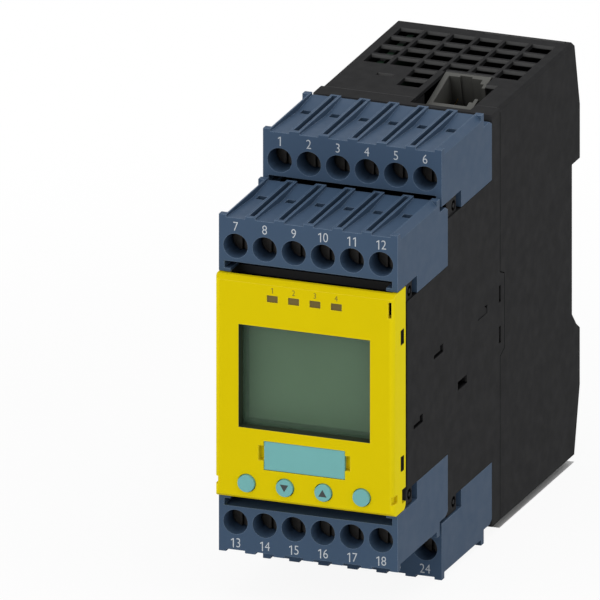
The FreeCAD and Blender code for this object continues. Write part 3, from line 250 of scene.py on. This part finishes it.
def plastic(name, colour, roughness, grain=0.22 * MM, height=0.004 * MM, mottle=0.06, gloss=0.4,
            hollow=None, front=None, vent_highlight=None, lit_sides=None, highlighted_edges=None):
    """Moulded plastic: a fine eroded grain, slow colour drift and uneven gloss, with painted shade in hollows,
    painted light on faces that look forward or sideways, and painted highlights along edges.
    """
    look = Look(name)
    base = linear(colour)
    drift = look.spread(look.noise(DRIFT_SIZE), 0, 1)
    skin = look.blend(drift, shaded(base, 1 - mottle), shaded(base, 1 + mottle))
    if hollow:
        # Painted shade: the colour darkens towards a shade of itself where the surroundings close in.
        reach, start, end, shade = hollow
        openness = look.hollows(reach)
        skin = look.blend(look.spread(openness, 0, 1, start=start, end=end), shaded(base, shade), skin)
        # Painted light: open faces that look forward get a lighter colour.
        if front:
            ahead = look.facing((0, -1, 0))
            seen = look.spread(openness, 0, 1, start=FRONT_LIT_OPENNESS[0], end=FRONT_LIT_OPENNESS[1])
            # On the vent walls, the forward faces get the painted shade all over, and only a strip at their top
            # gets the painted highlight.
            if vent_highlight:
                skin = look.blend(ahead, skin, shaded(base, shade))
                seen = look.height(*vent_highlight)
            look.blend(calculate(look.tree, "MULTIPLY", seen, ahead), skin, linear(front))
    # Painted light: faces that look left or right get a lighter colour.
    if lit_sides:
        for direction in ((-1, 0, 0), (1, 0, 0)):
            skin = look.blend(look.facing(direction), skin, linear(lit_sides))
    # Painted highlight: a lighter colour in a narrow band along every edge.
    if highlighted_edges:
        look.blend(look.edges(*EDGE_HIGHLIGHT), skin, linear(highlighted_edges))
    gloss_drift = look.spread(look.noise(GLOSS_PATCH), roughness - GLOSS_SWING, roughness + GLOSS_SWING)
    look.link(gloss_drift, look.shader.inputs["Roughness"])
    look.put(Specular_IOR_Level=gloss)
    return look.bump(look.noise(grain, detail=2.0), height)


METAL_DRIFT = 1.2 * MM
METAL_SHADES = (0.8, 1.1)
METAL_SWING = 0.08
TOOL_MARK_DEPTH = 0.003 * MM


def metal(name, colour, roughness, stretch=(1, 1, 1), grain=0.3 * MM):
    """Plated metal with fine tool marks."""
    look = Look(name)
    base = linear(colour)
    dark, light = METAL_SHADES
    look.blend(look.spread(look.noise(METAL_DRIFT), 0, 1), shaded(base, dark), shaded(base, light))
    marks = look.noise(grain, stretch=stretch)
    look.link(look.spread(marks, roughness - METAL_SWING, roughness + METAL_SWING), look.shader.inputs["Roughness"])
    look.put(Metallic=1.0)
    return look.bump(marks, TOOL_MARK_DEPTH)


def clear_window():
    """Clear pane with a faint green tint."""
    look = Look("clear_window")
    base = linear("window")
    look.blend(look.spread(look.noise(14 * MM), 0, 1), shaded(base, 0.95), shaded(base, 1.05))
    look.put(Roughness=0.08, Alpha=0.22, Specular_IOR_Level=0.5)
    look.material.surface_render_method = "BLENDED"
    return look


def display_glass():
    """Switched-off display: an uneven grey green under a smooth face."""
    look = Look("display_glass")
    base = linear("display")
    look.blend(look.spread(look.noise(20 * MM), 0, 1), shaded(base, 0.94), shaded(base, 1.06))
    return look.put(Roughness=0.4, Specular_IOR_Level=0.3)


def circuit_board():
    """Solder resist over copper areas, with painted shade where it lies deep inside the closed case."""
    look = Look("circuit_board")
    tracks = look.spread(look.noise(4 * MM, detail=1.0), 0, 1, start=0.48, end=0.52)
    resist = look.blend(tracks, linear("board"), linear("copper"))
    # Painted shade deep inside the case.
    reach, start, end, shade = INNER_HOLLOW_SHADE
    openness = look.spread(look.hollows(reach), 0, 1, start=start, end=end)
    look.blend(openness, shaded(linear("board"), shade), resist)
    look.put(Roughness=0.6, Specular_IOR_Level=0.05)
    return look.bump(look.noise(4 * MM, detail=1.0), 0.02 * MM)


def make_looks():
    return {
        # The case: painted shade in hollows and painted light on faces that look forward.
        "case_black": plastic("case_plastic", "case", 0.6, height=0.001 * MM, mottle=0.005, gloss=0.03,
                              hollow=CASE_HOLLOW_SHADE, front="case_front_lit"),
        # The rear housing's vents: painted shade in hollows and on the vent walls, with a painted highlight on
        # their top strip.
        "vents": plastic("vent_plastic", "case", 0.6, height=0.001 * MM, mottle=0.005, gloss=0.03,
                         hollow=CASE_HOLLOW_SHADE, front="vent_wall_lit", vent_highlight=VENT_HIGHLIGHT),
        # The cover: painted light on its sides and painted highlights along its edges.
        "cover_yellow": plastic("cover_plastic", "cover", 0.6, height=0.001 * MM, mottle=0.01, gloss=0.02,
                                lit_sides="cover_side_lit", highlighted_edges="cover_edge_highlight"),
        "window_clear": clear_window(),
        "frame_dark": plastic("frame_plastic", "frame", 0.6),
        "seal": plastic("seal_rubber", "seal", 0.7, gloss=0.1),
        "shade_black": plastic("shade_black_plastic", "shade_black", 0.7, gloss=0.02),
        "lcd_green": display_glass(),
        "board_green": circuit_board(),
        "teal": plastic("teal_plastic", "teal", 0.5, mottle=0.02, height=0.002 * MM, gloss=0.15),
        "light_pipe": plastic("smoked_pipe", "pipe", 0.35, height=0.001 * MM, gloss=0.15),
        "led_chip": plastic("chip_resin", "chip", 0.3),
        "switch_black": plastic("switch_plastic", "case", 0.45),
        # The socket: painted shade in its hollows.
        "socket_grey": plastic("socket_plastic", "socket", 0.5, gloss=0.15, hollow=SOCKET_HOLLOW_SHADE),
        "contact_gold": metal("contact_plating", "gold", 0.25),
        "latch_grey": plastic("latch_plastic", "latch", 0.5),
        # The blocks: painted shade in hollows and painted highlights along edges.
        "block_blue": plastic("block_plastic", "block", 0.55, height=0.002 * MM, mottle=0.015, gloss=0.1,
                              hollow=BLOCK_HOLLOW_SHADE, highlighted_edges="block_edge_highlight"),
        "screw_steel": metal("screw_plating", "screw", 0.45),
        "cage_steel": metal("cage_plating", "steel", 0.35, stretch=(1, 0.1, 1)),
        "header_black": plastic("header_plastic", "case", 0.5),
        "pin_brass": metal("pin_plating", "gold", 0.3, stretch=(1, 0.1, 1)),
        # Inner parts: painted shade deep inside the closed case.
        "relay_shell": plastic("relay_plastic", "relay", 0.4, hollow=INNER_HOLLOW_SHADE),
        "transformer_shell": plastic("transformer_plastic", "case", 0.5, hollow=INNER_HOLLOW_SHADE),
        "capacitor_can": plastic("capacitor_sleeve", "sleeve", 0.3, gloss=0.5, hollow=INNER_HOLLOW_SHADE),
        "print_light": plastic("light_print", "print_light", 0.6, height=0.001 * MM, mottle=0.05),
        "print_dark": plastic("dark_print", "print_dark", 0.6, height=0.001 * MM, mottle=0.05),
        "print_olive": plastic("olive_print", "print_olive", 0.6, height=0.001 * MM, mottle=0.05),
    }


def dress_nodes(looks):
    """Gives every construction node the finish of its slot; the rear housing's vents have their own."""
    for part in frame["record"]["subparts"]:
        node = NODES[part["node"]]
        look = looks["vents"] if part["node"] == "rear_housing" else looks[part["material_slot"]]
        node.data.materials.clear()
        node.data.materials.append(look.material)


WELD_DISTANCE = 0.001 * MM
FLAT_ANGLE = math.radians(0.5)
SHARP_ANGLE = math.radians(35)
BEVEL_SEGMENTS = 2


def round_edges(node, width, joined=True):
    """A small bevel along the sharp edges, as moulded and pressed pieces have."""
    weld = node.modifiers.new("joined_faces", "WELD")
    weld.merge_threshold = WELD_DISTANCE
    if joined:
        flat = node.modifiers.new("flat_faces", "DECIMATE")
        flat.decimate_type = "DISSOLVE"
        flat.angle_limit = FLAT_ANGLE
    bevel = node.modifiers.new("soft_edges", "BEVEL")
    bevel.width = width
    bevel.segments = BEVEL_SEGMENTS
    bevel.limit_method = "ANGLE"
    bevel.angle_limit = SHARP_ANGLE
    bevel.harden_normals = True
    bevel.use_clamp_overlap = True


def thicken(made, corners, shift):
    """A flat face with its corners, lifted by a shift to a closed plate."""
    face = made.faces.new([made.verts.new(corner) for corner in corners])
    lifted = bmesh.ops.extrude_face_region(made, geom=[face])
    for item in lifted["geom"]:
        if isinstance(item, bmesh.types.BMVert):
            item.co += Vector(shift)


def add_plate(made, outline, front, back):
    """A flat plate with an outline of places across and up, between two places along the depth."""
    thicken(made, [(x, front, z) for x, z in outline], (0, back - front, 0))


def rectangle(left, right, down, up):
    return [(left, down), (right, down), (right, up), (left, up)]


def new_piece(name, made, look, body="case"):
    """Turns finished faces into a piece of the scene."""
    bmesh.ops.recalc_face_normals(made, faces=made.faces)
    mesh = bpy.data.meshes.new(name)
    made.to_mesh(mesh)
    made.free()
    mesh.materials.append(look.material)
    piece = bpy.data.objects.new(name, mesh)
    bpy.context.scene.collection.objects.link(piece)
    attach(piece, body)


CAP_SHARE = 0.7  # height of a capital in the built-in letters, as a share of their size
LETTER_WIDTH = 0.86
LETTER_THINNING = 0.012
DIGIT_PITCH = 0.62
ONE_OUTLINE = [  # corners of the printed 1, as shares of its height
    (0.02, -0.5), (0.13, -0.5), (0.13, 0.5), (0.04, 0.5), (-0.18, 0.35), (-0.18, 0.23), (0.02, 0.36),
]
PRINT_LIFT = 0.02 * MM


def add_digit(made, digit, middle, height):
    """One printed digit from the built-in letters; the 1 gets its own outline with a flag."""
    if digit == "1":
        outline = [(middle.x + x * height, middle.z + z * height) for x, z in ONE_OUTLINE]
        add_plate(made, outline, middle.y - PRINT_LIFT / 2, middle.y + PRINT_LIFT / 2)
        return
    curve = bpy.data.curves.new("digit", "FONT")
    curve.body = digit
    curve.align_x = "CENTER"
    curve.align_y = "CENTER"
    curve.size = height / CAP_SHARE
    curve.extrude = PRINT_LIFT / 2
    curve.offset = -height * LETTER_THINNING
    letter = bpy.data.objects.new("digit", curve)
    bpy.context.scene.collection.objects.link(letter)
    letter.location = middle
    letter.scale = (LETTER_WIDTH, 1, 1)
    letter.rotation_euler = (math.radians(90), 0, 0)
    bpy.context.view_layer.update()
    solid = letter.to_mesh().copy()
    solid.transform(letter.matrix_world)
    made.from_mesh(solid)
    bpy.data.objects.remove(letter)


def printed_numbers(name, numbers, height, look):
    """Flat print on faces that look forward: one mesh for several numbers with their middles."""
    made = bmesh.new()
    for number, middle in numbers:
        digits = str(number)
        for index, digit in enumerate(digits):
            shift = (index - (len(digits) - 1) / 2) * height * DIGIT_PITCH
            add_digit(made, digit, middle + Vector((shift, 0, 0)), height)
    new_piece(name, made, look)


POLE_COUNT = 6
POLE_PITCH = 7.315 * MM
MARK_HEIGHT = 2.3 * MM
MARK_BELOW_TOP = 2.8 * MM
MARK_ABOVE_FOOT = 2.3 * MM


def number_terminals(look):
    """Plain numbers beside the screw wells, counted from the top left."""
    number = 1
    for level, tier in (("upper", "rear"), ("upper", "front"), ("lower", "front"), ("lower", "rear")):
        low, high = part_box("terminal_block_%s_%s" % (level, tier))
        height = high.z - MARK_BELOW_TOP if level == "upper" else low.z + MARK_ABOVE_FOOT
        words = []
        for pole in range(POLE_COUNT):
            place = POLE_PITCH * (pole - (POLE_COUNT - 1) / 2)
            words.append((number, Vector((place, low.y - PRINT_LIFT, height))))
            number += 1
        printed_numbers("numbers_%s_%s" % (level, tier), words, MARK_HEIGHT, look)


ARROW_WIDTH = 2.1 * MM
ARROW_HEIGHT = 1.8 * MM


def mark_key(key, upwards, look):
    """A triangle on the face of a key."""
    low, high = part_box(key)
    middle = (low + high) / 2
    tip = ARROW_HEIGHT / 2 if upwards else -ARROW_HEIGHT / 2
    corners = [(-ARROW_WIDTH / 2, -tip), (ARROW_WIDTH / 2, -tip), (0, tip)]
    made = bmesh.new()
    add_plate(made, [(middle.x + x, middle.z + z) for x, z in corners], low.y - PRINT_LIFT, low.y)
    new_piece("arrow_" + key, made, look, key + "_body")


WINDOW_HALF_WIDTH = 16.55 * MM
WINDOW_LOW = 44.05 * MM
WINDOW_HIGH = 69.75 * MM
SEAL_THICKNESS = 0.08 * MM
SEAL_GAP = 0.01 * MM


def seal_window(look):
    """A dark lining on the walls of the display opening, from the cover's face to the clear pane."""
    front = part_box("front_cover")[0].y + SEAL_GAP
    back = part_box("display_window")[0].y - SEAL_GAP
    outer = [(WINDOW_HALF_WIDTH - SEAL_GAP) * side for side in (-1, 1)]
    inner = [(WINDOW_HALF_WIDTH - SEAL_THICKNESS) * side for side in (-1, 1)]
    low, high = WINDOW_LOW + SEAL_GAP, WINDOW_HIGH - SEAL_GAP
    made = bmesh.new()
    for left, right, down, up in (
            (outer[0], inner[0], low, high),
            (inner[1], outer[1], low, high),
            (inner[0], inner[1], low, low + SEAL_THICKNESS),
            (inner[0], inner[1], high - SEAL_THICKNESS, high)):
        add_plate(made, rectangle(left, right, down, up), front, back)
    new_piece("window_seal", made, look)


SLOT_SHADE_FRONT = -56.6 * MM
SLOT_SHADE_BACK = -54.8 * MM
SLOT_SHADE_HALF_HEIGHT = 1.85 * MM
SLOT_SHADE_RISE = 15.8 * MM


def cap_lugs(look):
    """Painted shade: near-black plates laid just outside the cover's flanges over the snap slots, standing in for
    the shade of wider, deeper slots.
    """
    low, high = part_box("front_cover")
    middle = sum(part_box("front_housing"), Vector()).z / 2
    made = bmesh.new()
    for side, edge in ((-1, low.x), (1, high.x)):
        for rise in (-SLOT_SHADE_RISE, SLOT_SHADE_RISE):
            face, top = edge + side * PRINT_LIFT, middle + rise
            outline = rectangle(edge, face, top - SLOT_SHADE_HALF_HEIGHT, top + SLOT_SHADE_HALF_HEIGHT)
            add_plate(made, outline, SLOT_SHADE_FRONT, SLOT_SHADE_BACK)
    new_piece("slot_shade_plates", made, look)


SEAM_FRONT = 9.135 * MM
SEAM_BACK = 9.26 * MM
SEAM_INSET = 0.25 * MM
SEAM_WIDTH = 1.0 * MM


def close_seam(look):
    """A strip that closes the see-through seam of the two housings, a little below their faces; its near-black
    colour is painted shade in the seam.
    """
    low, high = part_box("rear_housing")
    left, right = low.x + SEAM_INSET, high.x - SEAM_INSET
    down, up = low.z + SEAM_INSET, high.z - SEAM_INSET
    made = bmesh.new()
    for x0, x1, z0, z1 in (
            (left, left + SEAM_WIDTH, down, up),
            (right - SEAM_WIDTH, right, down, up),
            (left + SEAM_WIDTH, right - SEAM_WIDTH, down, down + SEAM_WIDTH)):
        add_plate(made, rectangle(x0, x1, z0, z1), SEAM_FRONT, SEAM_BACK)
    new_piece("seam_strip", made, look)


SLOT_LENGTH = 6.2 * MM
SLOT_HALF_HEIGHT = 1.05 * MM
SLOT_TABS = (  # start along the depth, height of the middle, and whether the gap is an L or a corner
    (-34.775 * MM, 57.85 * MM, True),
    (-48.275 * MM, 44.85 * MM, True),
    (-5.425 * MM, 57.85 * MM, False),
)
TAB_SINK = 0.15 * MM
TAB_THICKNESS = 0.8 * MM
TAB_END_GAP = 1.7 * MM
TAB_FOOT_GAP = 0.8 * MM
TAB_CORNER = 1.1 * MM


def fill_side_slots(look):
    """Moulded tabs that nearly close three of the small slots in each side wall."""
    low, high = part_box("front_housing")
    made = bmesh.new()
    for side, face in ((-1, low.x), (1, high.x)):
        outer = face - side * TAB_SINK
        for start, middle, angled in SLOT_TABS:
            end, down, up = start + SLOT_LENGTH, middle - SLOT_HALF_HEIGHT, middle + SLOT_HALF_HEIGHT
            outline = [(start, up), (end - TAB_END_GAP, up)]
            if angled:
                outline += [(end - TAB_END_GAP, down + TAB_FOOT_GAP), (start, down + TAB_FOOT_GAP)]
            else:
                outline += [(end, up - TAB_CORNER), (end, down), (start, down)]
            thicken(made, [(outer, y, z) for y, z in outline], (-side * TAB_THICKNESS, 0, 0))
    new_piece("side_slot_tabs", made, look)


LIGHT_COUNT = 4
LIGHT_PITCH = 5.37 * MM
LIGHT_MARK_HEIGHT = 1.4 * MM
LIGHT_MARK_RISE = 2.1 * MM


def number_lights(look):
    """Small plain numbers over the four status lights."""
    low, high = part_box("light_pipes")
    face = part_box("front_cover")[0].y - PRINT_LIFT
    level = (low.z + high.z) / 2 + LIGHT_MARK_RISE
    words = []
    for index in range(LIGHT_COUNT):
        place = LIGHT_PITCH * (index - (LIGHT_COUNT - 1) / 2)
        words.append((index + 1, Vector((place, face, level))))
    printed_numbers("light_numbers", words, LIGHT_MARK_HEIGHT, look)


FLOOR_HALF = 2.0
FLOOR_DROP = 0.05 * MM
FADE_START = 0.12
FADE_END = 0.30
FLOOR_SHADE_SHARE = 0.92
# Middle and half length of the floor under the rear housing, along the width and the depth.
FOOTPRINT = {"X": (0.0, 22 * MM), "Y": (35 * MM, 25 * MM)}


def outside_footprint(tree):
    """0 on the shaded floor under the rear housing and 1 beside it."""
    places = tree.nodes.new("ShaderNodeSeparateXYZ")
    tree.links.new(tree.nodes.new("ShaderNodeTexCoord").outputs["Object"], places.inputs[0])
    within = [calculate(tree, "COMPARE", places.outputs[name], middle, half)
              for name, (middle, half) in FOOTPRINT.items()]
    return calculate(tree, "SUBTRACT", 1.0, calculate(tree, "MULTIPLY", *within))


def white_share(tree):
    """1 for rays from the camera, a mirror or glass, and 0 for the rest."""
    paths = tree.nodes.new("ShaderNodeLightPath").outputs
    seen = calculate(tree, "ADD", paths["Is Camera Ray"], paths["Is Glossy Ray"], clamp=True)
    return calculate(tree, "ADD", seen, paths["Is Transmission Ray"], clamp=True)


FLOOR_GREY = 0.82
FLOOR_ROUGHNESS = 0.9
FLOOR_GLOSS = 0.1


def make_floor():
    """Pale floor that keeps a soft shadow near the part and fades to white away from it."""
    mesh = bpy.data.meshes.new("floor")
    corners = rectangle(-FLOOR_HALF, FLOOR_HALF, -FLOOR_HALF, FLOOR_HALF)
    mesh.from_pydata([(x, y, -FLOOR_DROP) for x, y in corners], [], [(0, 1, 2, 3)])
    floor = bpy.data.objects.new("floor", mesh)
    bpy.context.scene.collection.objects.link(floor)
    material = bpy.data.materials.new("floor_white")
    material.use_nodes = True
    tree = material.node_tree
    matt = tree.nodes["Principled BSDF"]
    matt.inputs["Base Color"].default_value = (FLOOR_GREY, FLOOR_GREY, FLOOR_GREY, 1)
    matt.inputs["Roughness"].default_value = FLOOR_ROUGHNESS
    matt.inputs["Specular IOR Level"].default_value = FLOOR_GLOSS
    white = tree.nodes.new("ShaderNodeEmission")
    white.inputs["Color"].default_value = (1, 1, 1, 1)
    white.inputs["Strength"].default_value = 1.0
    length = tree.nodes.new("ShaderNodeVectorMath")
    length.operation = "LENGTH"
    tree.links.new(tree.nodes.new("ShaderNodeTexCoord").outputs["Object"], length.inputs[0])
    fade = tree.nodes.new("ShaderNodeMapRange")
    fade.interpolation_type = "SMOOTHSTEP"
    fade.inputs["From Min"].default_value = FADE_START
    fade.inputs["From Max"].default_value = FADE_END
    fade.inputs["To Min"].default_value = FLOOR_SHADE_SHARE
    fade.inputs["To Max"].default_value = 1.0
    tree.links.new(length.outputs["Value"], fade.inputs["Value"])
    share = calculate(tree, "MULTIPLY", fade.outputs["Result"], white_share(tree))
    open_share = calculate(tree, "MULTIPLY", share, outside_footprint(tree))
    mix = tree.nodes.new("ShaderNodeMixShader")
    tree.links.new(open_share, mix.inputs["Fac"])
    tree.links.new(matt.outputs["BSDF"], mix.inputs[1])
    tree.links.new(white.outputs["Emission"], mix.inputs[2])
    tree.links.new(mix.outputs["Shader"], tree.nodes["Material Output"].inputs["Surface"])
    floor.data.materials.append(material)


AMBIENT = 0.42  # light from the surroundings, as a share of white


def make_world():
    """White surroundings for the eye, at a plain level for the light that they give."""
    world = bpy.data.worlds.new("studio")
    bpy.context.scene.world = world
    world.use_nodes = True
    tree = world.node_tree
    background = tree.nodes["Background"]
    background.inputs["Color"].default_value = (1, 1, 1, 1)
    level = tree.nodes.new("ShaderNodeMapRange")
    level.inputs["To Min"].default_value = AMBIENT
    level.inputs["To Max"].default_value = 1.0
    tree.links.new(white_share(tree), level.inputs["Value"])
    tree.links.new(level.outputs["Result"], background.inputs["Strength"])


LAMP_DISTANCE = 1.2
LAMPS = {  # direction from the part, side of the square and power
    "top_light": ((0.10, -0.10, 1.0), 1.2, 7.4),
    "front_light": ((-0.45, -1.0, 0.35), 0.9, 5.2),
    "side_light": ((1.0, -0.45, 0.3), 0.9, 1.75),
    "back_light": ((0.25, 1.0, 0.05), 1.0, 2.6),
}


def make_lamps():
    """Soft boxes round the part."""
    low, high = cad_box
    middle = (low + high) / 2
    for name, (direction, size, power) in LAMPS.items():
        lamp = bpy.data.lights.new(name, "AREA")
        lamp.shape = "SQUARE"
        lamp.size = size
        lamp.energy = power
        holder = bpy.data.objects.new(name, lamp)
        bpy.context.scene.collection.objects.link(holder)
        aim = Vector(direction).normalized()
        holder.location = middle + aim * LAMP_DISTANCE
        holder.rotation_mode = "QUATERNION"
        holder.rotation_quaternion = aim.to_track_quat("Z", "Y")


def make_camera():
    """Parallel view from the front right and above, with equal scales along the width and the height."""
    camera = bpy.data.cameras.new("camera")
    camera.type = "ORTHO"
    camera.ortho_scale = VIEW_SPAN
    camera.clip_start = 0.01
    camera.clip_end = VIEW_DISTANCE * 4
    back = Vector((VIEW_RIGHT, -math.sqrt(1 - VIEW_RIGHT ** 2 - VIEW_UP ** 2), VIEW_UP))
    holder = bpy.data.objects.new("camera", camera)
    bpy.context.scene.collection.objects.link(holder)
    holder.location = VIEW_TARGET + back * VIEW_DISTANCE
    holder.rotation_mode = "QUATERNION"
    holder.rotation_quaternion = back.to_track_quat("Z", "Y")
    bpy.context.scene.camera = holder


BEVELS = {  # millimetres
    "front_housing": 0.12,
    "rear_housing": 0.12,
    "front_cover": 0.25,
    "label_plate": 0.12,
    "service_socket": 0.1,
    "rail_latch": 0.15,
    "key_left_end": 0.5,
    "key_down": 0.5,
    "key_up": 0.5,
    "key_right_end": 0.5,
}
BLOCK_BEVEL = 0.16


def main():
    looks = make_looks()
    dress_nodes(looks)
    for name, width in BEVELS.items():
        round_edges(NODES[name], width * MM, name != "rear_housing")
    for level in LEVELS:
        for tier in TIERS:
            round_edges(NODES["terminal_block_%s_%s" % (level, tier)], BLOCK_BEVEL * MM)
    number_terminals(looks["print_light"])
    number_lights(looks["print_olive"])
    seal_window(looks["seal"])
    cap_lugs(looks["shade_black"])
    fill_side_slots(looks["case_black"])
    close_seam(looks["shade_black"])
    mark_key("key_down", False, looks["print_dark"])
    mark_key("key_up", True, looks["print_dark"])
    make_floor()
    make_world()
    make_lamps()
    make_camera()
    bpy.context.scene.view_settings.view_transform = "Standard"


main()
